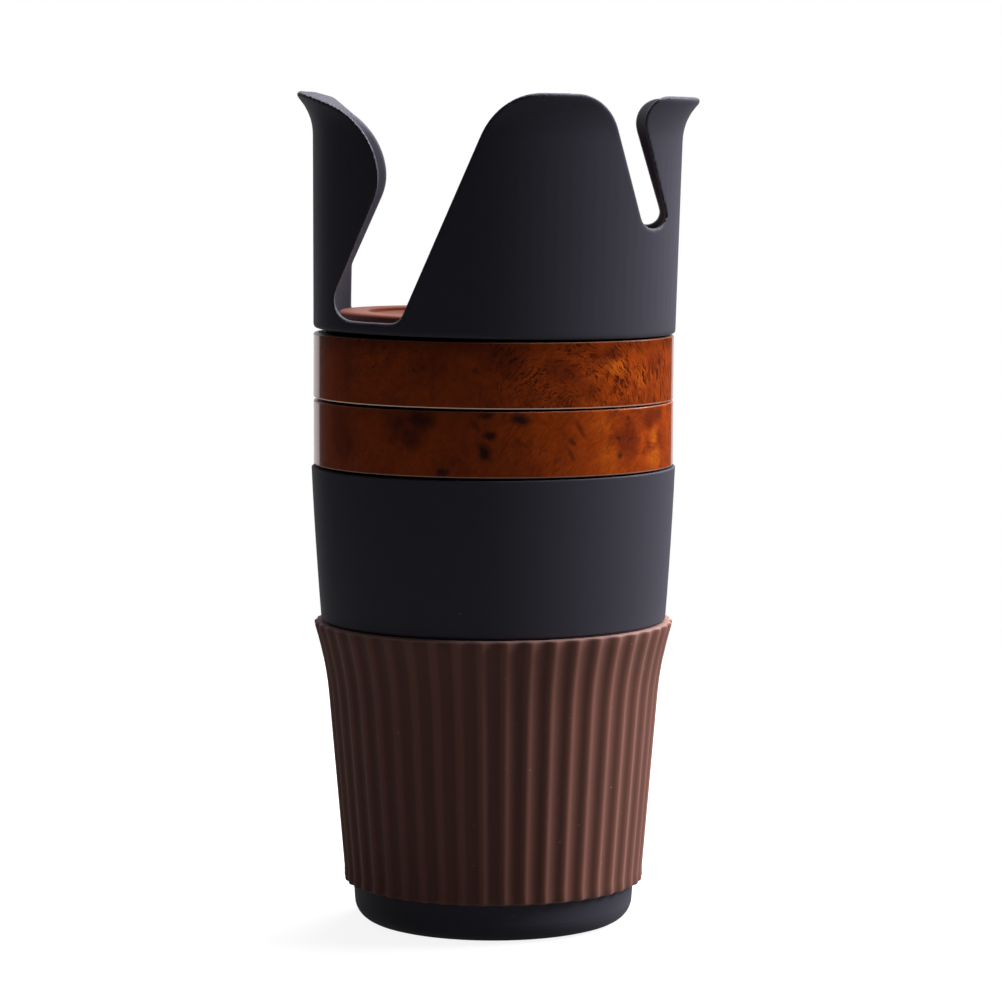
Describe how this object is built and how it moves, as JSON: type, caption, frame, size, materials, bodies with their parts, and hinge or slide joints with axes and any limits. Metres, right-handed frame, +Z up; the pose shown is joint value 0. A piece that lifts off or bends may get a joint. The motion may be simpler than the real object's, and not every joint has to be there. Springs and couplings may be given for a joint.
{
  "type": "swivelling car cup holder",
  "caption": "Stacked car cup holder with a ribbed grip sleeve, wood-grain trays and a petalled top cup that swing out about one upright post.",
  "frame": {"origin": "middle of the foot's underside", "axes": "+Z up, the pictured front faces -Y, the swivel post stands at -X"},
  "size_m": [0.0918, 0.0912, 0.191],
  "materials": {
    "dark_plastic": "soft-touch matt coat",
    "tray_plastic": "fine matt moulding",
    "sleeve_silicone": "matt silicone",
    "mat_silicone": "matt silicone",
    "wood_band": "burl under clear gloss lacquer",
    "steel": "turned steel",
    "bearing_plastic": "smooth acetal"
  },
  "bodies": {
    "base": {"base_cup": "dark_plastic", "grip_sleeve": "sleeve_silicone", "base_mat": "mat_silicone", "swivel_post": "steel", "anchor_washer": "steel", "wave_washer": "steel", "cap_washer": "steel", "top_screw": "steel", "lower_thrust_washer": "bearing_plastic"},
    "lower_layer": {"lower_tray": "tray_plastic", "lower_band": "wood_band", "lower_mat": "mat_silicone", "lower_bush": "bearing_plastic"},
    "upper_layer": {"upper_tray": "tray_plastic", "upper_band": "wood_band", "upper_mat": "mat_silicone", "upper_bush": "bearing_plastic", "upper_thrust_washer": "bearing_plastic"},
    "crown": {"crown_cup": "dark_plastic", "crown_mat": "mat_silicone", "crown_bush": "bearing_plastic", "crown_thrust_washer": "bearing_plastic"}
  },
  "joints": [
    {"name": "lower_tray_swing", "type": "hinge", "parent": "base", "child": "lower_layer", "pos_m": [-0.033, 0, 0.12], "axis": [0, 0, 1], "continuous": true},
    {"name": "upper_tray_swing", "type": "hinge", "parent": "base", "child": "upper_layer", "pos_m": [-0.033, 0, 0.12], "axis": [0, 0, 1], "continuous": true},
    {"name": "crown_swing", "type": "hinge", "parent": "base", "child": "crown", "pos_m": [-0.033, 0, 0.12], "axis": [0, 0, 1], "continuous": true}
  ]
}
